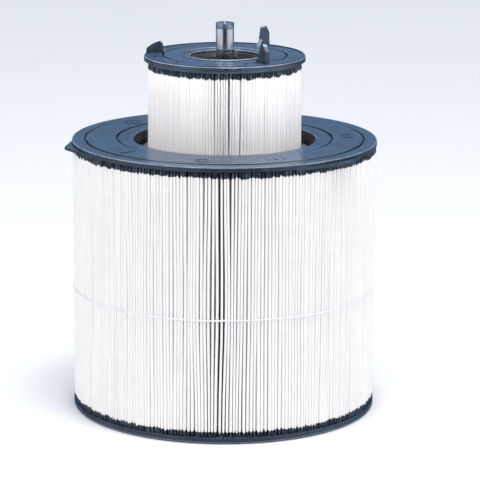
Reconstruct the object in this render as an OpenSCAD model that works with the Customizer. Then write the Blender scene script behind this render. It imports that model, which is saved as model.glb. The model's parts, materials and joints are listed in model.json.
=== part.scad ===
// Two-stage pleated filter cartridge for a round pool filter tank. A wide outer
// module stands around a narrower, taller inner module, and an air bleed tube
// stands in the inner module's core. Z runs up the common axis, the set stands
// on z = 0, and angles run about Z from the front (-Y) towards +X.

/* [Outer module] */
// Height of the outer module
outer_h = 381; // [340:1:440]
// Radius of the outer pleat tips
outer_pleat_r = 212.5; // [205:0.5:225]
// Radius of the opening through the outer module
outer_bore_r = 127.5; // [122:0.5:135]
// Height of the outer end caps' skirts
outer_skirt_h = 6.6; // [6:0.1:9]
// How far the corner tabs stand out past the outer top cap
tab_reach = 13; // [8:0.5:20]
// Drop from the outer module's top to the middle of its pleat band
outer_band_drop = 209; // [100:1:250]

/* [Inner module] */
// Height of the inner module
inner_h = 498; // [460:1:560]
// Radius of the inner pleat tips
inner_pleat_r = 107; // [104:0.5:109]
// Radius of the opening through the inner module
inner_bore_r = 48.5; // [46:0.5:54]
// Height of the inner end caps' rims
inner_rim_h = 7; // [6:0.1:10]
// Thickness of the lifting lugs on the inner top cap
lug_t = 6.5; // [4:0.5:8]

/* [End caps] */
// Thickness of the end caps' plates
plate_t = 4; // [3:0.1:5]
// Thickness of the end caps' skirts
wall_t = 1.6; // [1.2:0.1:2]
// Depth of the bare potting under each cap, round the opening
collar_h = 8.4; // [5:0.1:10]
// Height that the potting climbs the pleats past each skirt
potting_h = 9.4; // [6:0.1:12]

/* [Bleed tube] */
// Outer radius of the bleed tube
tube_r = 11.95; // [10:0.05:12.2]
// Wall of the bleed tube
tube_wall = 1.95; // [1.2:0.05:3]
// Outer radius of the polished sleeve at the tube's top
sleeve_r = 12.7; // [12.6:0.05:14]
// Height of the tube's top over the inner module's top
tube_stand = 45; // [40:1:80]

/* [Hidden] */
$fn = 96;

eps = 0.5;                                 // how far a feature sinks into what carries it
edge_r = 2;                                // rounding on a cap's outer edges
foot_gap = 1.5;                            // height of the bottom caps over the surface under the gaskets
core_drop = plate_t + collar_h + potting_h; // depth of the potting's end at the core, from a cap's face

// End caps
skirt_lap = 0.5;                           // how far the skirts stand out past the pleats
outer_cap_r = outer_pleat_r + skirt_lap;
inner_skirt_r = inner_pleat_r + skirt_lap;
inner_skirt_h = inner_rim_h + 2.4;
inner_rim_r = inner_pleat_r + 5.2;         // the inner cap's rim overhangs its pleats
ring_groove_w = 3.2;                       // moulded grooves round the caps' faces
ring_groove_d = 2.2;
deck_rise = 0.7;                           // how far the face between the outer cap's grooves stands up
outer_rings = [outer_bore_r + 22.5, outer_cap_r - 18.5];
inner_ring = inner_bore_r + 37.5;
bead_h = 1.6;                              // raised beads round the inner cap's opening
bead_w = 2.4;
inner_beads = [inner_bore_r + 6, inner_bore_r + 11];
pin_mark_r = 3;                            // round marks of the mould's ejector pins
pin_marks = [[281, 98], [318, 97], [20, 84]];
lip_w = 4;                                 // raised lip round the inner cap's rim
lip_rise = 1;
step_h = 0.5;                              // fine mould lines round the caps' skirts
mark_h = 0.6;                              // raised moulding marks on the deck
mark_r = outer_cap_r - 41;

// Corner tabs on the outer top cap: [angle, spread towards lower angles, spread towards higher angles]
tab_tip_r = outer_cap_r + tab_reach;
tabs = [[47, 20, 13], [165, 17, 17], [283, 12, 20]];
tab_t = 4;
tab_z = -8.4;                              // height of a tab's underside
tab_round = 5;

// Lifting lugs on the inner top cap, each a fin in a radial plane:
// [angle, radius of the foot, radius of the inner edge, radius of the outer edge, height, height of the outer face]
lugs = [
    [36, 75, 86, 98.5, 26, 16],
    [147, 86, 96.5, 111.8, 28.5, 17.5],
    [258.5, 84, 89, 111.5, 15.5, 6]
];
lug_round = 4;                             // rounding of a lug's peak

// Cores
core_wall = 2.4;
outer_core_r = outer_bore_r + core_wall;
inner_core_r = inner_bore_r + core_wall;
window_rows = 9;
window_gap = 10;                           // height of the solid rings between windows
outer_window_w = 30;
outer_window_pairs = 10;
inner_window_w = 18;
inner_window_pairs = 7;

// Pleat bands
band_t = 0.7;
band_h = 10;

// Bottom gaskets
gasket_h = 5;
outer_gasket_r = (outer_bore_r + outer_pleat_r) / 2;
outer_gasket_w = 12;
inner_gasket_r = (inner_bore_r + inner_pleat_r) / 2;
inner_gasket_w = 8;
gasket_seat = gasket_h - foot_gap;         // how deep a gasket sits in its cap

// Bleed tube
tube_bore_r = tube_r - tube_wall;
tube_top = inner_h + tube_stand;
crown_h = 7.5;                             // height of the tube's top cap
crown_spigot_h = 6;
sleeve_top = tube_top - crown_h - 0.6;     // leaves a fine line under the top cap
sleeve_bottom = inner_h + 8;
sleeve_bore_r = sleeve_r - 1.6;
joint_z = sleeve_bottom + 11;              // the tube ends on this shoulder inside the sleeve
strainer_z = joint_z + 3;                  // the strainer rests here, on the shoulder
strainer_t = 2;
strainer_r = sleeve_bore_r;
strainer_seat_r = tube_bore_r - 1;
orifice_r = 2.2;
seal_t = 0.7;                              // seal ring under the sleeve
seal_h = 2.4;

// Foot that centres the tube in the inner core
foot_h = 22;
foot_ring_h = 10;
foot_ring_r = inner_bore_r - 1;
foot_hub_r = tube_r + 4;
foot_arms = 3;
foot_arm_w = 4;
foot_arm_h = 7;
foot_arm_z = 1.5;

// Turns children from +X to an angle measured from the front
module at_angle(angle) {
    rotate([0, 0, angle - 90]) children();
}

// Stands a cap or its potting on a module's top face, or upside down on its bottom
module on_top(height) {
    translate([0, 0, height]) children();
}

module on_bottom() {
    translate([0, 0, foot_gap]) mirror([0, 0, 1]) children();
}

module ring(inner_r, outer_r, z0, z1) {
    rotate_extrude()
        polygon([[inner_r, z0], [outer_r, z0], [outer_r, z1], [inner_r, z1]]);
}

// Quarter round from angle a0 to angle a1 about [x, y]
function arc(x, y, r, a0, a1, steps = 4) =
    [for (i = [0:steps]) let (a = a0 + (a1 - a0) * i / steps) [x + r * cos(a), y + r * sin(a)]];

// A moulded groove round a face, with the face's height on its inner and its outer side
function groove(r, inner_z = 0, outer_z = 0) = [
    [r - ring_groove_w / 2, inner_z],
    [r - ring_groove_w / 4, -ring_groove_d],
    [r + ring_groove_w / 4, -ring_groove_d],
    [r + ring_groove_w / 2, outer_z]
];

// A raised bead with a rounded top on a face at z = 0
module bead(r) {
    rotate_extrude()
        polygon(concat(
            [[r - bead_w / 2, -eps], [r + bead_w / 2, -eps]],
            arc(r, bead_h - bead_w / 2, bead_w / 2, 0, 180, 6)
        ));
}

// A fine mould line cut round a skirt of radius r at height z
function mould_line(r, z) = [[r, z], [r - step_h, z - step_h / 2], [r, z - step_h]];

// ---- End caps, drawn with their outer face at z = 0 and their channel below ----

module outer_cap_shell() {
    rotate_extrude()
        polygon(concat(
            [[outer_bore_r, -plate_t]],
            arc(outer_bore_r + edge_r, -edge_r, edge_r, 180, 90),
            groove(outer_rings[0], 0, deck_rise),
            groove(outer_rings[1], deck_rise, 0),
            arc(outer_cap_r - edge_r, -edge_r, edge_r, 90, 0),
            mould_line(outer_cap_r, -2.4),
            mould_line(outer_cap_r, -4.4),
            [
                [outer_cap_r, -outer_skirt_h],
                [outer_cap_r - wall_t, -outer_skirt_h],
                [outer_cap_r - wall_t, -plate_t]
            ]
        ));
}

module inner_cap_shell() {
    rotate_extrude()
        polygon(concat(
            [[inner_bore_r, -plate_t]],
            arc(inner_bore_r + edge_r, -edge_r, edge_r, 180, 90),
            groove(inner_ring),
            arc(inner_rim_r - edge_r, -edge_r, edge_r, 90, 0),
            mould_line(inner_rim_r, -2.2),
            [
                [inner_rim_r, -inner_rim_h],
                [inner_skirt_r, -inner_skirt_h],
                [inner_skirt_r - wall_t, -inner_skirt_h],
                [inner_skirt_r - wall_t, -plate_t]
            ]
        ));
}

// Potting fills a cap's underside, is bare round the opening and climbs the pleats' ends
module potting(bore_r, core_r, pleat_r, skirt_h) {
    channel_r = pleat_r + skirt_lap - wall_t;
    rotate_extrude()
        polygon([
            [bore_r, -plate_t],
            [channel_r, -plate_t],
            [channel_r, -skirt_h],
            [pleat_r, -skirt_h],
            [pleat_r, -skirt_h - potting_h],
            [core_r, -core_drop],
            [bore_r, -core_drop]
        ]);
}

module gasket_groove(r, w) {
    ring(r - w / 2, r + w / 2, -gasket_seat, deck_rise + eps);
}

// ---- Pleated media, a ring that meets the potting's sloping ends ----

module media(height, core_r, pleat_r, skirt_h) {
    rotate_extrude()
        polygon([
            [core_r, foot_gap + core_drop],
            [pleat_r, foot_gap + skirt_h + potting_h],
            [pleat_r, height - skirt_h - potting_h],
            [core_r, height - core_drop]
        ]);
}

// Perforated core: a tube with rows of windows cut by bars across its diameter
module core(height, bore_r, window_w, window_pairs) {
    z0 = foot_gap + core_drop;
    z1 = height - core_drop;
    pitch = (z1 - z0 - window_gap) / window_rows;
    difference() {
        ring(bore_r, bore_r + core_wall, z0, z1);
        for (row = [0:window_rows - 1], bar = [0:window_pairs - 1])
            translate([0, 0, z0 + window_gap + row * pitch])
                rotate([0, 0, bar * 180 / window_pairs])
                    translate([-bore_r - 2 * core_wall, -window_w / 2, 0])
                        cube([2 * bore_r + 4 * core_wall, window_w, pitch - window_gap]);
    }
}

// ---- Outer module ----

// Slope of a tab's side that runs from the cap's edge, spread degrees away, to the tab's tip
function tab_slope(spread) = atan2(tab_tip_r - outer_cap_r * cos(spread), outer_cap_r * sin(spread));

// Corner tab: two straight sides, each with its own spread, that meet in a round tip. Below the skirt
// its inner face stands clear of the pleats.
function tab_outline(low, high) = concat(
    [[outer_cap_r * cos(low), -outer_cap_r * sin(low)]],
    arc(tab_tip_r - tab_round, 0, tab_round, -tab_slope(low), tab_slope(high), 8),
    [[outer_cap_r * cos(high), outer_cap_r * sin(high)]]
);

module corner_tab(low, high) {
    translate([0, 0, tab_z]) difference() {
        linear_extrude(tab_t) polygon(tab_outline(low, high));
        translate([0, 0, -eps]) cylinder(r = outer_cap_r - wall_t / 2, h = tab_t + 2 * eps);
        translate([0, 0, -eps]) cylinder(r = outer_pleat_r + 0.1, h = eps + max(0, -outer_skirt_h - tab_z));
    }
}

// Raised moulding marks on the outer top cap's deck: rings, ticks and a flow arrow
module mark_ring(angle, r) {
    at_angle(angle) translate([mark_r, 0, deck_rise]) ring(r - 1.6, r, -eps, mark_h);
}

module mark_tick(angle, length, w) {
    at_angle(angle) translate([mark_r - length / 2, -w / 2, deck_rise - eps]) cube([length, w, mark_h + eps]);
}

module mark_arrow(angle) {
    at_angle(angle) translate([mark_r, 0, deck_rise - eps]) linear_extrude(mark_h + eps)
        polygon([[-12, -1.5], [2, -1.5], [2, -5], [12, 0], [2, 5], [2, 1.5], [-12, 1.5]]);
}

module outer_media() {
    color("white") media(outer_h, outer_core_r, outer_pleat_r, outer_skirt_h);
}

module outer_core() {
    color("ghostwhite") core(outer_h, outer_bore_r, outer_window_w, outer_window_pairs);
}

module outer_pleat_band() {
    z = outer_h - outer_band_drop;
    color("gainsboro") ring(outer_pleat_r, outer_pleat_r + band_t, z - band_h / 2, z + band_h / 2);
}

module outer_top_cap() {
    color("steelblue") on_top(outer_h) {
        outer_cap_shell();
        for (tab = tabs) at_angle(tab[0]) corner_tab(tab[1], tab[2]);
        mark_ring(230, 12);
        mark_ring(350, 10);
        for (angle = [359, 2]) mark_tick(angle, 24, 2);
        mark_arrow(310);
        for (angle = [20, 24, 28]) mark_tick(angle, 6, 3);
        mark_tick(90, 16, 1.6);
        mark_tick(97, 16, 1.6);
    }
}

module outer_top_potting() {
    color("midnightblue") on_top(outer_h)
        potting(outer_bore_r, outer_core_r, outer_pleat_r, outer_skirt_h);
}

module outer_bottom_cap() {
    color("steelblue") on_bottom() difference() {
        outer_cap_shell();
        gasket_groove(outer_gasket_r, outer_gasket_w);
    }
}

module outer_bottom_potting() {
    color("midnightblue") on_bottom()
        potting(outer_bore_r, outer_core_r, outer_pleat_r, outer_skirt_h);
}

module outer_bottom_gasket() {
    color("black") ring(outer_gasket_r - outer_gasket_w / 2, outer_gasket_r + outer_gasket_w / 2, 0, gasket_h);
}

// ---- Inner module ----

// One lifting lug: an upright fin with a round peak, whose back swells out and down to its outer face
module lug(foot_r, inner_r, outer_r, height, face_h) {
    swell = (outer_r - inner_r - lug_round) / 2;
    rotate([90, 0, 0]) linear_extrude(lug_t, center = true)
        polygon(concat(
            [
                [foot_r, -eps],
                [outer_r, -eps],
                [outer_r - 0.8, face_h],
                [outer_r - swell, (height + face_h) / 2 + 1.5]
            ],
            arc(inner_r + lug_round, height - lug_round, lug_round, 70, 170, 5),
            [[(foot_r + 2 * inner_r) / 3, height / 3]]
        ));
}

module inner_media() {
    color("white") media(inner_h, inner_core_r, inner_pleat_r, inner_skirt_h);
}

module inner_core() {
    color("ghostwhite") core(inner_h, inner_bore_r, inner_window_w, inner_window_pairs);
}

module inner_pleat_band() {
    z = inner_h / 2;
    color("gainsboro") ring(inner_pleat_r, inner_pleat_r + band_t, z - band_h / 2, z + band_h / 2);
}

module inner_top_cap() {
    color("steelblue") on_top(inner_h) {
        inner_cap_shell();
        for (r = inner_beads) bead(r);
        ring(inner_rim_r - lip_w, inner_rim_r - edge_r, -eps, lip_rise);
        for (fin = lugs) at_angle(fin[0]) lug(fin[1], fin[2], fin[3], fin[4], fin[5]);
        for (pin = pin_marks) at_angle(pin[0]) translate([pin[1], 0, 0])
            ring(pin_mark_r - 1.2, pin_mark_r, -eps, mark_h);
    }
}

module inner_top_potting() {
    color("midnightblue") on_top(inner_h)
        potting(inner_bore_r, inner_core_r, inner_pleat_r, inner_skirt_h);
}

module inner_bottom_cap() {
    color("steelblue") on_bottom() difference() {
        inner_cap_shell();
        gasket_groove(inner_gasket_r, inner_gasket_w);
    }
}

module inner_bottom_potting() {
    color("midnightblue") on_bottom()
        potting(inner_bore_r, inner_core_r, inner_pleat_r, inner_skirt_h);
}

module inner_bottom_gasket() {
    color("black") ring(inner_gasket_r - inner_gasket_w / 2, inner_gasket_r + inner_gasket_w / 2, 0, gasket_h);
}

// ---- Bleed tube ----

module bleed_tube() {
    color("silver") ring(tube_bore_r, tube_r, 0, joint_z);
}

// Sleeve over the tube's end: a socket below, a shoulder, and a chamber above for the strainer
module tube_sleeve() {
    color("silver") rotate_extrude()
        polygon([
            [tube_r, sleeve_bottom],
            [sleeve_r, sleeve_bottom],
            [sleeve_r, sleeve_top],
            [sleeve_bore_r, sleeve_top],
            [sleeve_bore_r, strainer_z],
            [strainer_seat_r, strainer_z],
            [strainer_seat_r, joint_z],
            [tube_r, joint_z]
        ]);
}

module bleed_strainer() {
    color("gray") translate([0, 0, strainer_z]) difference() {
        cylinder(r = strainer_r, h = strainer_t);
        for (i = [0:5]) rotate([0, 0, i * 60]) translate([strainer_r / 2, 0, -eps])
            cylinder(r = 1.6, h = strainer_t + 2 * eps, $fn = 24);
        translate([0, 0, -eps]) cylinder(r = 1.6, h = strainer_t + 2 * eps, $fn = 24);
    }
}

// Top cap of the tube: a crown on the sleeve's end, a spigot inside it and the bleed orifice
module tube_top_cap() {
    color("silver") rotate_extrude()
        polygon(concat(
            [
                [orifice_r, sleeve_top - crown_spigot_h],
                [sleeve_bore_r, sleeve_top - crown_spigot_h],
                [sleeve_bore_r, sleeve_top],
                [sleeve_r - 0.8, sleeve_top],
                [sleeve_r - 0.8, sleeve_top + 0.6],
                [sleeve_r, sleeve_top + 0.6]
            ],
            arc(sleeve_r - 1, tube_top - 1, 1, 0, 90),
            [
                [orifice_r + 1.5, tube_top],
                [orifice_r, tube_top - 1.5]
            ]
        ));
}

module tube_seal_ring() {
    color("black") ring(tube_r, tube_r + seal_t, sleeve_bottom - seal_h, sleeve_bottom);
}

// Foot of the tube: a hub around its end, arms and a ring that runs inside the core
module tube_foot() {
    color("dimgray") {
        ring(tube_r, foot_hub_r, 0, foot_h);
        ring(foot_ring_r - 3, foot_ring_r, 0, foot_ring_h);
        for (i = [0:foot_arms - 1]) rotate([0, 0, 90 + i * 360 / foot_arms])
            translate([foot_hub_r - eps, -foot_arm_w / 2, foot_arm_z])
                cube([foot_ring_r - 2 - foot_hub_r, foot_arm_w, foot_arm_h]);
    }
}

outer_media();
outer_core();
outer_pleat_band();
outer_top_cap();
outer_top_potting();
outer_bottom_cap();
outer_bottom_potting();
outer_bottom_gasket();
inner_media();
inner_core();
inner_pleat_band();
inner_top_cap();
inner_top_potting();
inner_bottom_cap();
inner_bottom_potting();
inner_bottom_gasket();
bleed_tube();
tube_sleeve();
tube_top_cap();
bleed_strainer();
tube_seal_ring();
tube_foot();
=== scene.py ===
"""Two-module pleated filter cartridge: materials, pleats, potting and studio for the CAD assembly."""
import json
import math

import bpy
import numpy as np
from mathutils import Matrix, Vector


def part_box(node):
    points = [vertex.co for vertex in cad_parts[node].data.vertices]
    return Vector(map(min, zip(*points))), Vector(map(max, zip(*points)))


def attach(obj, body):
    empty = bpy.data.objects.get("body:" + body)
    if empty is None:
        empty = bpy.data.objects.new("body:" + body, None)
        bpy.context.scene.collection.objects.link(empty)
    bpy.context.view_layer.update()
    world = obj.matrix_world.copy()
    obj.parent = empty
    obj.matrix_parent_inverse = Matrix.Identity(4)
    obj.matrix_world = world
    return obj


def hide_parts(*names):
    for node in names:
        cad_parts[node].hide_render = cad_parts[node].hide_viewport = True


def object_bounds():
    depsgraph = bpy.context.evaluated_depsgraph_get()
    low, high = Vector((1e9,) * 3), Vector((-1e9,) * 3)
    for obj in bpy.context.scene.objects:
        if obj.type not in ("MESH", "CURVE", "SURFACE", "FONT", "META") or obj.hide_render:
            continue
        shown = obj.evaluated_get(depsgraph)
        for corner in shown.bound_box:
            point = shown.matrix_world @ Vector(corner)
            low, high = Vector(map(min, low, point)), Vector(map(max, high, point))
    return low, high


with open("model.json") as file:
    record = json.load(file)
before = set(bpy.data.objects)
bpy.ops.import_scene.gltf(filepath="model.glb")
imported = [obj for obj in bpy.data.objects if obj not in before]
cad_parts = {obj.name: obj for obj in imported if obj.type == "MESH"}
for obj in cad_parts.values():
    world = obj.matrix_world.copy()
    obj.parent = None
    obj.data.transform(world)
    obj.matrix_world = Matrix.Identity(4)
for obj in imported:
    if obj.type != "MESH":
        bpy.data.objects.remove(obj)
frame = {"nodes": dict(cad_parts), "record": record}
cad_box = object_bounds()

MM = 0.001
UP = 2  # index of Z in a corner


# ---------------------------------------------------------------- sizes read from the frame

def outer_radius(node):
    """Radius of a round node that is centred on the Z axis."""
    low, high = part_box(node)
    return (high[1] - low[1]) / 2


def height_span(node):
    low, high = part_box(node)
    return low[UP], high[UP]


SHEET = 0.5 * MM          # thickness of the folded media
CORE_WALL = 2.4 * MM
POTTING_REACH = 9.4 * MM  # how far the potting climbs the crests past a cap's skirt


class Module:
    """One cartridge module: its body, its sizes, how many pleats it has and how far they swell."""

    def __init__(self, prefix, pleats, seed, swell):
        self.prefix = prefix
        self.body = prefix + "_module"
        self.pleats = pleats
        self.seed = seed
        self.tip_r = outer_radius(prefix + "_media") + swell
        self.core_r = outer_radius(prefix + "_core")
        self.bore_r = self.core_r - CORE_WALL
        low, high = height_span(prefix + "_media")
        self.skirt_low, self.skirt_high = low - POTTING_REACH, high + POTTING_REACH
        self.tuck = 0.8 * (height_span(prefix + "_top_potting")[1] - self.skirt_high)


OUTER = Module("outer", 276, 11, 0.0)
INNER = Module("inner", 168, 23, 0.5 * MM)


# ---------------------------------------------------------------- mesh helpers

def new_object(name, verts, quads, material):
    """A smooth-shaded object from an array of points and an array of quads."""
    mesh = bpy.data.meshes.new(name)
    mesh.vertices.add(len(verts))
    mesh.vertices.foreach_set("co", np.asarray(verts, np.float32).ravel())
    mesh.loops.add(quads.size)
    mesh.loops.foreach_set("vertex_index", quads.astype(np.int32).ravel())
    mesh.polygons.add(len(quads))
    mesh.polygons.foreach_set("loop_start", np.arange(0, quads.size, 4, dtype=np.int32))
    mesh.polygons.foreach_set("use_smooth", np.full(len(quads), True))
    mesh.update(calc_edges=True)
    mesh.validate()
    obj = bpy.data.objects.new(name, mesh)
    bpy.context.scene.collection.objects.link(obj)
    mesh.materials.append(material)
    return obj


def grid_quads(rows, columns, wrap_rows, wrap_columns, offset=0, flip=False):
    """Quads of a rows x columns grid of points, closed in either direction if asked."""
    r = np.arange(rows if wrap_rows else rows - 1)
    c = np.arange(columns if wrap_columns else columns - 1)
    r, c = np.meshgrid(r, c, indexing="ij")
    r1, c1 = (r + 1) % rows, (c + 1) % columns
    quads = np.stack([r * columns + c, r * columns + c1, r1 * columns + c1, r1 * columns + c], -1)
    quads = quads.reshape(-1, 4) + offset
    return quads[:, ::-1] if flip else quads


def polar(radius, angle, z):
    """Points at an angle measured about Z from the front, -Y, towards +X."""
    radius, angle, z = np.broadcast_arrays(radius, angle, z)
    return np.stack([radius * np.sin(angle), -radius * np.cos(angle), z], -1)


# ---------------------------------------------------------------- pleats

CREST_RISE = 0.62         # height of a crest's rounding against its half width
CREST_TURNS = np.radians([30, 60, 90, 120, 150])
PARTING = 1.8             # how much wider the gaps stand at the front, where the pack has been parted
PINCH = 1.6 * MM          # how far the potting draws the crests in where they enter a cap


def drifting(rng, rows, count, knots):
    """Random values, one column for each pleat, that change smoothly from row to row."""
    marks = rng.normal(size=(knots, count))
    at = np.linspace(0, knots - 1, rows)
    low = np.minimum(at.astype(int), knots - 2)
    t = at - low
    t = (t * t * (3 - 2 * t))[:, None]
    return marks[low] * (1 - t) + marks[low + 1] * t


def ring_blur(values, reach):
    """Gaussian blur along the last axis, around the ring."""
    count = values.shape[-1]
    step = np.minimum(np.arange(count), count - np.arange(count))
    kernel = np.exp(-0.5 * (step / reach) ** 2)
    kernel /= kernel.sum()
    return np.real(np.fft.ifft(np.fft.fft(values, axis=-1) * np.fft.fft(kernel), axis=-1))


class Pleats:
    """Where each crest of a module runs: angle, half width, radius and tilt at each row of heights."""

    def __init__(self, module, inner_rows=9):
        self.module = module
        low, high = module.skirt_low, module.skirt_high
        ends = np.array([-module.tuck, 0.0, POTTING_REACH])
        clear = POTTING_REACH + 4 * MM
        middle = np.linspace(low + clear, high - clear, inner_rows)
        self.z = np.concatenate([low + ends, middle, high - ends[::-1]])
        angle, half = self.layout(inner_rows)
        repeat = np.clip(np.arange(len(self.z)) - len(ends), 0, inner_rows - 1)
        self.angle, self.half = angle[repeat], half[repeat]
        rng = np.random.default_rng(module.seed + 1)
        dent = np.abs(drifting(rng, inner_rows, module.pleats, 3)) * 0.5 * MM
        self.tilt = 0.22 * drifting(rng, inner_rows, module.pleats, 3)[repeat]
        self.tip_r = module.tip_r - 0.25 * MM - dent[repeat]
        past = np.minimum(self.z - low, high - self.z)
        held = np.clip(1 - past / POTTING_REACH, 0, 1)[:, None]
        self.tip_r = self.tip_r - PINCH * held
        self.half = self.half * (1 - 0.34 * held)

    def layout(self, rows):
        """Crests keep their order and never cross: widths and gaps are drawn first and added up round
        the ring, then the slow drift is taken out and overlaps are pushed apart."""
        module = self.module
        rng = np.random.default_rng(module.seed)
        count = module.pleats
        around = 2 * math.pi * module.tip_r
        pitch = around / count
        front = (np.arange(count) + count / 2) % count / count - 0.5
        parted = np.exp(-((front / 0.045) ** 2))
        width = 0.88 * pitch * (1 + 0.10 * drifting(rng, rows, count, 3)) * (1 - 0.27 * parted)
        width = np.clip(width, 0.5 * pitch, 1.05 * pitch)
        gap = np.exp(np.clip(0.65 * drifting(rng, rows, count, 3), -1.3, 0.9)) * (1 + PARTING * parted)
        gap *= (around - width.sum(1, keepdims=True)) / gap.sum(1, keepdims=True)
        centre = np.cumsum(width + gap, axis=1) - gap - width / 2
        even = np.arange(count) * pitch
        drift = centre - even
        drift -= ring_blur(drift, 5.0)
        least = 0.05 * MM
        for _ in range(30):
            centre = even + drift
            following = np.roll(centre, -1, axis=1)
            following[:, -1] += around
            spare = following - centre - (width + np.roll(width, -1, axis=1)) / 2
            push = np.clip(least - spare, 0, None) / 2
            drift = drift - push + np.roll(push, 1, axis=1)
        return (even + drift) / module.tip_r, width / 2

    def surface(self, rows, inset):
        """Radius and angle of one side of the folded sheet on some rows: rows x pleats x profile points.
        inset moves the surface towards the sheet's clean side."""
        module = self.module
        step = 2 * math.pi / module.pleats
        angle, tilt = self.angle[rows], self.tilt[rows]
        half = self.half[rows] - inset
        fold = (np.arange(module.pleats) - 0.5) * step
        fold_r = module.core_r + 0.2 * MM + SHEET - inset
        foot_r = module.core_r + 1.6 * MM
        foot = (0.12 * MM + inset) / module.core_r
        shoulder_r = self.tip_r[rows] - inset - CREST_RISE * half
        middle_r = 0.5 * (foot_r + shoulder_r)
        shape = angle.shape
        left_foot = np.broadcast_to(fold + foot, shape)
        right_foot = np.broadcast_to(fold + step - foot, shape)
        left_shoulder = angle - half / shoulder_r
        right_shoulder = angle + half / shoulder_r
        radius = [np.full(shape, fold_r), np.full(shape, foot_r), middle_r, shoulder_r]
        around = [np.broadcast_to(fold, shape), left_foot, 0.5 * (left_foot + left_shoulder), left_shoulder]
        for turn in CREST_TURNS:
            r = shoulder_r + half * math.sin(turn) * (CREST_RISE + tilt * math.cos(turn))
            radius.append(r)
            around.append(angle - half * math.cos(turn) / r)
        radius += [shoulder_r, middle_r, np.full(shape, foot_r)]
        around += [right_shoulder, 0.5 * (right_foot + right_shoulder), right_foot]
        return np.stack(radius, -1), np.stack(around, -1)


def folded_shell(name, dirty, clean, material):
    """A closed sheet between two folded surfaces, each rows x columns points, open to no side."""
    rows, columns = dirty.shape[:2]
    start = rows * columns
    ring = np.arange(columns)
    after = (ring + 1) % columns
    last = (rows - 1) * columns
    top = np.stack([last + ring, last + after, start + last + after, start + last + ring], -1)
    bottom = np.stack([ring, start + ring, start + after, after], -1)
    quads = np.concatenate([
        grid_quads(rows, columns, False, True),
        grid_quads(rows, columns, False, True, offset=start, flip=True),
        top,
        bottom,
    ])
    verts = np.concatenate([dirty.reshape(-1, 3), clean.reshape(-1, 3)])
    return new_object(name, verts, quads, material)


def pleat_pack(module, pleats, material):
    """The folded sheet as one closed solid: a dirty side, a clean side and the two cut ends."""
    sides = []
    for inset in (0.0, SHEET):
        radius, around = pleats.surface(slice(None), inset)
        sides.append(polar(radius, around, pleats.z[:, None, None]).reshape(len(pleats.z), -1, 3))
    obj = folded_shell(module.prefix + "_pleats", sides[0], sides[1], material)
    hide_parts(module.prefix + "_media")
    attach(obj, module.body)
    return obj


# ---------------------------------------------------------------- potting

def potting_comb(module, pleats, end, material):
    """Potting that coats the ends of the crests: a ragged edge, high on the crests and low in the gaps."""
    top = end == "top"
    rng = np.random.default_rng(module.seed + (31 if top else 47))
    count = module.pleats
    skirt = module.skirt_high if top else module.skirt_low
    outwards = 1 if top else -1
    gap_edge = POTTING_REACH * rng.uniform(0.86, 1.12, count)
    next_edge = np.roll(gap_edge, -1)
    bare = rng.uniform(0.2, 1.0, count) ** 1.6 * 3.0 * MM
    crest_edge = np.minimum(gap_edge, next_edge) - bare
    low_side = [gap_edge + 1 * MM] * 2 + [gap_edge, gap_edge]
    high_side = [next_edge, next_edge, next_edge + 1 * MM]
    arc = []
    for turn in CREST_TURNS:
        side = gap_edge if math.cos(turn) > 0 else next_edge
        arc.append(crest_edge + (side - crest_edge) * abs(math.cos(turn)))
    past = np.stack(low_side + arc + high_side, -1)
    shares = np.array([0.0, 0.35, 0.7, 1.0])
    start = 0.8 * module.tuck
    z = skirt + outwards * (start - (past + start) * shares[:, None, None])
    t = np.clip((skirt - z) * outwards / POTTING_REACH, 0, 1)
    coats = []
    for inset in (-0.28 * MM, 0.25 * MM):
        radius, around = pleats.surface([-2, -3] if top else [1, 2], inset)
        r = radius[:1] * (1 - t) + radius[1:] * t
        angle = around[:1] * (1 - t) + around[1:] * t
        coats.append(polar(r, angle, z).reshape(len(shares), -1, 3))
    if top:
        coats = [coat[::-1] for coat in coats]
    obj = folded_shell(f"{module.prefix}_{end}_comb", coats[0], coats[1], material)
    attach(obj, module.body)
    return obj


def lathe(name, module, profile, columns, material):
    """A closed ring from (radius, height) pairs, each a number or one value for each column."""
    angle = np.arange(columns) * 2 * math.pi / columns
    points = np.stack([polar(np.broadcast_to(r, angle.shape), angle, z) for r, z in profile])
    area = sum(
        np.mean(a[0]) * np.mean(b[1]) - np.mean(b[0]) * np.mean(a[1])
        for a, b in zip(profile, profile[1:] + profile[:1])
    )
    quads = grid_quads(len(profile), columns, True, True, flip=area < 0)
    obj = new_object(name, points.reshape(-1, 3), quads, material)
    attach(obj, module.body)
    return obj


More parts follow.
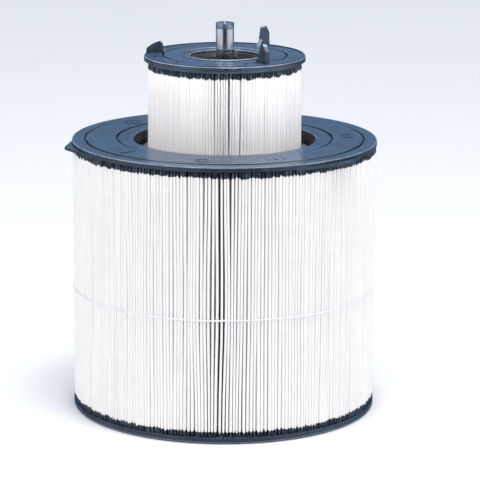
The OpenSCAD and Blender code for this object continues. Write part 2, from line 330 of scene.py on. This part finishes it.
def potting_body(module, end, materials):
    """The poured ring under a cap: a smooth bare collar round the opening and, below it, inner teeth."""
    node = f"{module.prefix}_{end}_potting"
    low, high = height_span(node)
    top = end == "top"
    face, deep = (high, low) if top else (low, high)
    inwards = -1 if top else 1
    rng = np.random.default_rng(module.seed + (61 if top else 83))
    count = module.pleats
    lobes = 6
    phase = np.arange(lobes) / lobes
    columns = count * lobes
    wave = np.tile(0.5 - 0.5 * np.cos(2 * math.pi * phase), count)
    teeth = module.bore_r + 0.15 * MM + wave * 1.3 * MM
    ragged = np.repeat(rng.uniform(0, 2.2, count), lobes) * MM + wave * 1.2 * MM
    edge = deep - inwards * ragged
    teeth_top = deep - inwards * POTTING_REACH
    ripple = 0.12 * MM * np.sin(np.arange(columns) * 2 * math.pi * 9 / columns + module.seed)
    collar = lathe(f"{module.prefix}_{end}_collar", module, [
        (module.bore_r + 0.05 * MM, face),
        (module.bore_r + 0.05 * MM, face + inwards * 1 * MM),
        (module.bore_r + 0.2 * MM + ripple, (face + teeth_top) / 2),
        (module.bore_r + 0.1 * MM, teeth_top - inwards * 0.6 * MM),
        (module.bore_r + 0.8 * MM, teeth_top + inwards * 0.2 * MM),
        (module.bore_r + 3.0 * MM, teeth_top + inwards * 0.2 * MM),
        (module.bore_r + 3.0 * MM, face),
    ], columns, materials["collar"])
    skirt = module.skirt_high if top else module.skirt_low
    tuck_r = outer_radius(module.prefix + "_media") - 1.2 * MM
    body = lathe(f"{module.prefix}_{end}_potting_ring", module, [
        (module.bore_r + 3.0 * MM, face),
        (module.bore_r + 3.0 * MM, teeth_top),
        (teeth + 0.5 * MM, teeth_top),
        (teeth, teeth_top + inwards * 0.6 * MM),
        (teeth, 0.5 * (teeth_top + edge)),
        (teeth, edge - inwards * 0.6 * MM),
        (teeth + 0.6 * MM, edge),
        (module.core_r + 8 * MM, deep - inwards * 3 * MM),
        (tuck_r - 16 * MM, skirt + inwards * 5 * MM),
        (tuck_r - 3.5 * MM, skirt + inwards * 1.5 * MM),
        (tuck_r, skirt - inwards * 0.3 * MM),
        (tuck_r, face),
    ], columns, materials["potting"])
    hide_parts(node)
    return collar, body


def pleat_band(module, material):
    """A thin bead of hot melt laid round the crests, which sinks a little between them."""
    node = module.prefix + "_pleat_band"
    low, high = height_span(node)
    middle = (low + high) / 2
    rng = np.random.default_rng(module.seed + 97)
    lobes = 4
    columns = module.pleats * lobes
    marks = 0.25 * MM * np.append(rng.normal(size=40), 0.0)
    sag = np.interp(np.arange(columns) / columns * 40, np.arange(41), marks)
    bump = np.tile(np.cos(2 * math.pi * np.arange(lobes) / lobes), module.pleats) * 0.12 * MM
    r = module.tip_r + 0.05 * MM + bump
    h = 1.3 * MM
    obj = lathe(module.prefix + "_hot_melt_band", module, [
        (r - 0.9 * MM, middle - h + sag),
        (r + 0.1 * MM, middle - 0.8 * h + sag),
        (r + 0.42 * MM, middle - 0.3 * h + sag),
        (r + 0.42 * MM, middle + 0.3 * h + sag),
        (r + 0.1 * MM, middle + 0.8 * h + sag),
        (r - 0.9 * MM, middle + h + sag),
    ], columns, material)
    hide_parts(node)
    return obj


# ---------------------------------------------------------------- materials

class Shader:
    """A small builder for one node material."""

    def __init__(self, name):
        self.material = bpy.data.materials.new(name)
        self.material.use_nodes = True
        self.tree = self.material.node_tree
        self.surface = self.tree.nodes["Principled BSDF"]
        self.coords = self.add("ShaderNodeTexCoord").outputs["Object"]

    def add(self, kind, **settings):
        node = self.tree.nodes.new(kind)
        for key, value in settings.items():
            setattr(node, key, value)
        return node

    def link(self, source, target):
        self.tree.links.new(source, target)

    def put(self, socket, value):
        """Set a socket, or link it if value comes from a node."""
        if hasattr(value, "is_output"):
            self.link(value, socket)
        else:
            socket.default_value = value

    def noise(self, scale, detail=4.0, rough=0.55, vector=None):
        node = self.add("ShaderNodeTexNoise")
        self.link(vector or self.coords, node.inputs["Vector"])
        node.inputs["Scale"].default_value = scale
        node.inputs["Detail"].default_value = detail
        node.inputs["Roughness"].default_value = rough
        return node.outputs["Fac"]

    def stretched(self, scale):
        node = self.add("ShaderNodeMapping")
        self.link(self.coords, node.inputs["Vector"])
        node.inputs["Scale"].default_value = scale
        return node.outputs["Vector"]

    def math(self, operation, a, b=0.0, clamp=False):
        node = self.add("ShaderNodeMath", operation=operation, use_clamp=clamp)
        self.put(node.inputs[0], a)
        self.put(node.inputs[1], b)
        return node.outputs[0]

    def remap(self, value, low, high, to_low=0.0, to_high=1.0):
        node = self.add("ShaderNodeMapRange")
        node.clamp = True
        self.put(node.inputs["Value"], value)
        node.inputs["From Min"].default_value = low
        node.inputs["From Max"].default_value = high
        node.inputs["To Min"].default_value = to_low
        node.inputs["To Max"].default_value = to_high
        return node.outputs["Result"]

    def mix(self, factor, a, b):
        node = self.add("ShaderNodeMix", data_type="RGBA")
        self.put(node.inputs["Factor"], factor)
        self.put(node.inputs[6], a)
        self.put(node.inputs[7], b)
        return node.outputs[2]

    def polar_coords(self, around, outward, up):
        """Coordinates that follow the part's turning marks: arc, radius and height, each scaled."""
        split = self.add("ShaderNodeSeparateXYZ")
        self.link(self.coords, split.inputs[0])
        x, y, z = split.outputs
        squares = self.math("ADD", self.math("MULTIPLY", x, x), self.math("MULTIPLY", y, y))
        radius = self.math("SQRT", squares)
        turn = self.math("ARCTAN2", y, x)
        join = self.add("ShaderNodeCombineXYZ")
        self.link(self.math("MULTIPLY", turn, around), join.inputs[0])
        self.link(self.math("MULTIPLY", radius, outward), join.inputs[1])
        self.link(self.math("MULTIPLY", z, up), join.inputs[2])
        return join.outputs[0]

    def level(self):
        """How level the surface lies: 1 for a flat face up or down, 0 for an upright one."""
        geometry = self.add("ShaderNodeNewGeometry")
        split = self.add("ShaderNodeSeparateXYZ")
        self.link(geometry.outputs["Normal"], split.inputs[0])
        return self.math("ABSOLUTE", split.outputs[2])

    def open_air(self, reach):
        """0 down in grooves and against raised marks, 1 where nothing stands within reach."""
        node = self.add("ShaderNodeAmbientOcclusion", only_local=True, samples=8)
        node.inputs["Distance"].default_value = reach
        return self.remap(node.outputs["AO"], 0.45, 0.92)

    def bump(self, height, distance, strength=1.0, below=None):
        node = self.add("ShaderNodeBump")
        self.link(height, node.inputs["Height"])
        node.inputs["Distance"].default_value = distance
        node.inputs["Strength"].default_value = strength
        if below is not None:
            self.link(below, node.inputs["Normal"])
        return node.outputs["Normal"]

    def done(self, **values):
        """Put values on the shader's own sockets and hand over the material."""
        for key, value in values.items():
            self.put(self.surface.inputs[key], value)
        return self.material


def media_material():
    """White needled polyester: soft mottle, faint upright streaks and fibres in the bump."""
    s = Shader("pleated_polyester")
    mottle = s.remap(s.noise(38.0, 3.0), 0.35, 0.65)
    streak = s.remap(s.noise(60.0, 3.0, vector=s.stretched((1, 1, 0.04))), 0.3, 0.7)
    tone = s.mix(mottle, (0.91, 0.875, 0.85, 1), (0.94, 0.91, 0.885, 1))
    tone = s.mix(s.math("MULTIPLY", streak, 0.35), tone, (0.89, 0.90, 0.92, 1))
    fibres = s.noise(2600.0, 2.0)
    weave = s.noise(700.0, 3.0, vector=s.stretched((1, 1, 0.35)))
    normal = s.bump(fibres, 0.00012, 0.5, s.bump(weave, 0.0003, 0.5))
    return s.done(**{
        "Base Color": tone,
        "Roughness": s.remap(mottle, 0.0, 1.0, 0.82, 0.92),
        "Normal": normal,
        "Sheen Weight": 0.15,
        "Sheen Roughness": 0.6,
    })


def cap_material():
    """Slate blue moulded urethane: streaks round the axis, painted shade on upright faces and in grooves, and
    a painted highlight along rounded edges.
    """
    s = Shader("moulded_cap")
    flow = s.polar_coords(0.5, 9.0, 9.0)
    streaks = s.remap(s.noise(9.0, 5.0, 0.6, vector=flow), 0.32, 0.68)
    cloud = s.remap(s.noise(16.0, 4.0), 0.35, 0.65)
    fine = s.remap(s.noise(120.0, 3.0), 0.35, 0.65)
    tone = s.mix(streaks, (0.012, 0.030, 0.058, 1), (0.045, 0.085, 0.150, 1))
    tone = s.mix(s.math("MULTIPLY", cloud, 0.7), tone, (0.026, 0.085, 0.220, 1))
    tone = s.mix(s.math("MULTIPLY", fine, 0.3), tone, (0.09, 0.13, 0.18, 1))
    # Painted shade: upright faces, such as skirts and the sides of the lugs, get a darker tone than faces
    # that lie level.
    side = s.mix(cloud, (0.010, 0.019, 0.034, 1), (0.030, 0.052, 0.085, 1))
    level = s.level()
    tone = s.mix(s.remap(level, 0.75, 0.98), side, tone)
    # Painted highlight: rounded edges, where the normal lies between level and upright, are mixed towards
    # pale blue-grey and broken up by noise.
    rounding = s.math("MULTIPLY", s.remap(level, 0.35, 0.65), s.remap(level, 0.97, 0.80))
    highlight_breakup = s.remap(s.noise(45.0, 4.0), 0.3, 0.6, 0.25, 0.9)
    tone = s.mix(s.math("MULTIPLY", rounding, highlight_breakup), tone, (0.36, 0.44, 0.53, 1))
    # Painted shade: grooves and the foot of raised marks are darkened to near black.
    tone = s.mix(s.open_air(0.005), (0.004, 0.008, 0.014, 1), tone)
    scratch = s.polar_coords(2.0, 160.0, 160.0)
    lines = s.noise(7.0, 2.0, vector=scratch)
    normal = s.bump(lines, 0.0002, 0.5, s.bump(fine, 0.0008, 0.6))
    return s.done(**{
        "Base Color": tone,
        "Roughness": s.remap(s.math("ADD", streaks, fine), 0.0, 2.0, 0.22, 0.42),
        "Normal": normal,
        "Coat Weight": 0.3,
        "Coat Roughness": 0.15,
    })


def potting_material():
    """Near-black navy urethane with a wet gloss and pale upright streaks."""
    s = Shader("potting_urethane")
    mottle = s.remap(s.noise(300.0, 3.0), 0.35, 0.65)
    pale_streaks = s.remap(s.noise(420.0, 2.0, vector=s.stretched((1, 1, 0.06))), 0.50, 0.66)
    tone = s.mix(mottle, (0.003, 0.006, 0.012, 1), (0.010, 0.018, 0.032, 1))
    tone = s.mix(s.math("MULTIPLY", pale_streaks, 0.7), tone, (0.10, 0.15, 0.21, 1))
    return s.done(**{
        "Base Color": tone,
        "Roughness": s.remap(mottle, 0.0, 1.0, 0.14, 0.34),
        "Normal": s.bump(s.noise(500.0, 2.0), 0.0002, 0.5),
    })


def collar_material():
    """Bare cast face of the potting: dull grey-brown with mould smears."""
    s = Shader("potting_cast_face")
    smear = s.polar_coords(0.5, 20.0, 60.0)
    mottle = s.remap(s.noise(6.0, 4.0, vector=smear), 0.35, 0.65)
    return s.done(**{
        "Base Color": s.mix(mottle, (0.035, 0.036, 0.038, 1), (0.10, 0.10, 0.10, 1)),
        "Roughness": s.remap(mottle, 0.0, 1.0, 0.45, 0.65),
        "Normal": s.bump(mottle, 0.0002, 0.5),
    })


def core_material():
    """White injection-moulded polypropylene with a little flow mottle."""
    s = Shader("white_polypropylene")
    mottle = s.remap(s.noise(30.0, 4.0), 0.35, 0.65)
    return s.done(**{
        "Base Color": s.mix(mottle, (0.80, 0.81, 0.83, 1), (0.88, 0.88, 0.89, 1)),
        "Roughness": s.remap(s.noise(90.0), 0.3, 0.7, 0.38, 0.55),
        "Normal": s.bump(s.noise(900.0, 2.0), 0.0001, 0.4),
        "Subsurface Weight": 0.05,
    })


def band_material():
    """Thin hot-melt band pressed on the crests of the pleats."""
    s = Shader("pleat_band")
    mottle = s.remap(s.noise(150.0, 4.0), 0.35, 0.65)
    return s.done(**{
        "Base Color": s.mix(mottle, (0.78, 0.79, 0.82, 1), (0.89, 0.89, 0.91, 1)),
        "Roughness": s.remap(mottle, 0.0, 1.0, 0.5, 0.7),
        "Normal": s.bump(s.noise(420.0, 3.0), 0.0004, 0.5),
    })


def rubber_material():
    """Black gasket rubber with a dull, dusty bloom."""
    s = Shader("black_rubber")
    mottle = s.remap(s.noise(200.0, 4.0), 0.35, 0.65)
    return s.done(**{
        "Base Color": s.mix(mottle, (0.012, 0.013, 0.015, 1), (0.035, 0.036, 0.04, 1)),
        "Roughness": s.remap(mottle, 0.0, 1.0, 0.55, 0.8),
        "Normal": s.bump(s.noise(1400.0, 2.0), 0.0001, 0.5),
    })


def tube_material():
    """Polished tube: fine turning lines and slight water marks."""
    s = Shader("polished_tube")
    turning = s.polar_coords(0.4, 0.0, 900.0)
    lines = s.remap(s.noise(4.0, 3.0, vector=turning), 0.35, 0.65)
    marks = s.remap(s.noise(55.0, 4.0), 0.4, 0.7)
    return s.done(**{
        "Base Color": s.mix(marks, (0.80, 0.82, 0.85, 1), (0.66, 0.68, 0.71, 1)),
        "Metallic": 1.0,
        "Roughness": s.remap(s.math("ADD", lines, marks), 0.0, 2.0, 0.10, 0.24),
        "Normal": s.bump(lines, 0.00003, 0.3),
    })


def crown_material():
    """Dull, dark bluish metal of the tube's top cap, with pale rubbed patches and painted shade in its
    hollows.
    """
    s = Shader("crown_metal")
    turning = s.polar_coords(0.4, 900.0, 900.0)
    lines = s.remap(s.noise(4.0, 3.0, vector=turning), 0.35, 0.65)
    patches = s.remap(s.noise(160.0, 4.0), 0.4, 0.65)
    tone = s.mix(patches, (0.16, 0.21, 0.28, 1), (0.34, 0.41, 0.50, 1))
    return s.done(**{
        # Painted shade: hollows and crevices of the crown are darkened to near black.
        "Base Color": s.mix(s.open_air(0.004), (0.01, 0.013, 0.02, 1), tone),
        "Metallic": 0.9,
        "Roughness": s.remap(s.math("ADD", lines, patches), 0.0, 2.0, 0.24, 0.42),
        "Normal": s.bump(lines, 0.00004, 0.4),
    })


def strainer_material():
    """Plain perforated steel of the strainer disc."""
    s = Shader("strainer_steel")
    mottle = s.remap(s.noise(400.0, 3.0), 0.35, 0.65)
    return s.done(**{
        "Base Color": s.mix(mottle, (0.42, 0.43, 0.45, 1), (0.56, 0.57, 0.59, 1)),
        "Metallic": 1.0,
        "Roughness": s.remap(mottle, 0.0, 1.0, 0.3, 0.45),
    })


def foot_material():
    """Dark slate moulded plastic of the tube's centring foot."""
    s = Shader("foot_plastic")
    mottle = s.remap(s.noise(70.0, 4.0), 0.35, 0.65)
    return s.done(**{
        "Base Color": s.mix(mottle, (0.03, 0.04, 0.055, 1), (0.06, 0.075, 0.10, 1)),
        "Roughness": s.remap(mottle, 0.0, 1.0, 0.4, 0.6),
        "Normal": s.bump(s.noise(800.0, 2.0), 0.0001, 0.4),
    })


def floor_material():
    """Plain pale studio floor."""
    s = Shader("pale_floor")
    mottle = s.remap(s.noise(1.5, 3.0), 0.3, 0.7)
    return s.done(**{
        "Base Color": s.mix(mottle, (0.93, 0.93, 0.93, 1), (0.95, 0.95, 0.95, 1)),
        "Roughness": 0.9,
    })


def dress_nodes(materials):
    """Give each CAD node the looks of its slot, and the tube's top cap looks of its own."""
    for part in frame["record"]["subparts"]:
        look = "crown" if part["node"] == "tube_top_cap" else part["material_slot"]
        for material_slot in frame["nodes"][part["node"]].material_slots:
            material_slot.material = materials[look]


# ---------------------------------------------------------------- stage

def add_floor():
    """The floor lies just under the set and is left out of reflections."""
    mesh = bpy.data.meshes.new("floor")
    size = 30.0
    corners = [(-size, -size, 0), (size, -size, 0), (size, size, 0), (-size, size, 0)]
    mesh.from_pydata(corners, [], [(0, 1, 2, 3)])
    floor = bpy.data.objects.new("floor", mesh)
    bpy.context.scene.collection.objects.link(floor)
    mesh.materials.append(floor_material())
    floor.location.z = cad_box[0][UP] - 0.0005
    floor.visible_glossy = False


def add_camera():
    """A long lens a little above the set, at the photo's angle."""
    data = bpy.data.cameras.new("camera")
    data.lens = 191.06
    data.sensor_width = 36.0
    data.clip_end = 100.0
    camera = bpy.data.objects.new("camera", data)
    pitch, yaw, roll = 0.2287, 0.0064, 0.0054
    aim = Matrix.Rotation(-yaw, 4, "Z") @ Matrix.Rotation(math.pi / 2 - pitch, 4, "X")
    turn = aim @ Matrix.Rotation(roll, 4, "Z")
    camera.matrix_world = Matrix.Translation((0.0, -3.5, 1.0487)) @ turn
    bpy.context.scene.collection.objects.link(camera)
    bpy.context.scene.camera = camera


def add_area(name, location, aim, size, power, color=(1, 1, 1), spread=180, glossy=True):
    data = bpy.data.lights.new(name, "AREA")
    data.shape = "RECTANGLE"
    data.size, data.size_y = size
    data.energy = power
    data.color = color
    data.spread = math.radians(spread)
    light = bpy.data.objects.new(name, data)
    light.location = location
    bpy.context.scene.collection.objects.link(light)
    direction = np.array(aim, float) - np.array(location, float)
    light.rotation_euler = Vector(direction).to_track_quat("-Z", "Y").to_euler()
    light.visible_camera = False
    light.visible_glossy = glossy


def studio_world():
    """Seen directly the world is a pale backdrop. As light it is bright round the sides, and dim straight
    in front and behind."""
    world = bpy.data.worlds.new("studio")
    world.use_nodes = True
    tree = world.node_tree
    add = tree.nodes.new
    seen = tree.nodes["Background"]
    seen.inputs["Color"].default_value = (1.0, 1.0, 1.0, 1)
    seen.inputs["Strength"].default_value = 1.0
    coords = add("ShaderNodeTexCoord")
    split = add("ShaderNodeSeparateXYZ")
    ramp = add("ShaderNodeValToRGB")
    lit = add("ShaderNodeBackground")
    mix = add("ShaderNodeMixShader")
    path = add("ShaderNodeLightPath")
    shift = add("ShaderNodeMath")
    shift.operation = "MULTIPLY_ADD"
    shift.inputs[1].default_value = 0.5
    shift.inputs[2].default_value = 0.5
    tree.links.new(coords.outputs["Generated"], split.inputs[0])
    tree.links.new(split.outputs["Y"], shift.inputs[0])
    tree.links.new(shift.outputs[0], ramp.inputs["Fac"])
    stops = ramp.color_ramp.elements
    stops[0].position, stops[0].color = 0.045, (0.045, 0.07, 0.105, 1)
    stops[1].position, stops[1].color = 0.075, (0.95, 1.0, 1.08, 1)
    back = ((0.60, (0.95, 1.0, 1.08, 1)), (0.75, (0.24, 0.35, 0.50, 1)), (1.0, (0.20, 0.30, 0.43, 1)))
    for position, color in back:
        stop = stops.new(position)
        stop.color = color
    tree.links.new(ramp.outputs["Color"], lit.inputs["Color"])
    lit.inputs["Strength"].default_value = 0.74
    tree.links.new(path.outputs["Is Camera Ray"], mix.inputs["Fac"])
    tree.links.new(lit.outputs[0], mix.inputs[1])
    tree.links.new(seen.outputs[0], mix.inputs[2])
    tree.links.new(mix.outputs[0], tree.nodes["World Output"].inputs["Surface"])
    bpy.context.scene.world = world


def add_lights():
    """Warm keys to each side, a small bright softbox overhead, a wide sky and a lift for the inner module."""
    studio_world()
    warm = (1.0, 0.95, 0.91)
    add_area("key_left", (-2.6, -2.2, 2.2), (0, 0, 0.35), (1.6, 2.4), 23, warm)
    add_area("fill_right", (2.8, -1.8, 1.8), (0, 0, 0.35), (1.6, 2.4), 18, warm)
    add_area("top", (0.3, -0.5, 3.2), (0, 0, 0.3), (1.0, 1.0), 38)
    sky = bpy.data.lights.new("sky", "SUN")
    sky.energy = 0.7
    sky.angle = math.radians(120)
    bpy.context.scene.collection.objects.link(bpy.data.objects.new("sky", sky))
    for name, x in (("upper_left", -1.9), ("upper_right", 1.9)):
        add_area(name, (x, -2.4, 1.5), (0, 0, 0.6), (0.15, 0.15), 0.22, warm, 10, False)


# ---------------------------------------------------------------- build

def build():
    materials = {
        "collar": collar_material(),
        "media": media_material(),
        "core_plastic": core_material(),
        "band": band_material(),
        "cap_plastic": cap_material(),
        "potting": potting_material(),
        "gasket": rubber_material(),
        "tube_metal": tube_material(),
        "crown": crown_material(),
        "strainer_metal": strainer_material(),
        "foot_plastic": foot_material(),
    }
    add_camera()
    add_lights()
    add_floor()
    dress_nodes(materials)
    for module in (OUTER, INNER):
        pleats = Pleats(module)
        pleat_pack(module, pleats, materials["media"])
        pleat_band(module, materials["band"])
        for end in ("top", "bottom"):
            potting_comb(module, pleats, end, materials["potting"])
            potting_body(module, end, materials)
    bpy.context.scene.view_settings.view_transform = "Standard"


build()
bpy.context.view_layer.update()
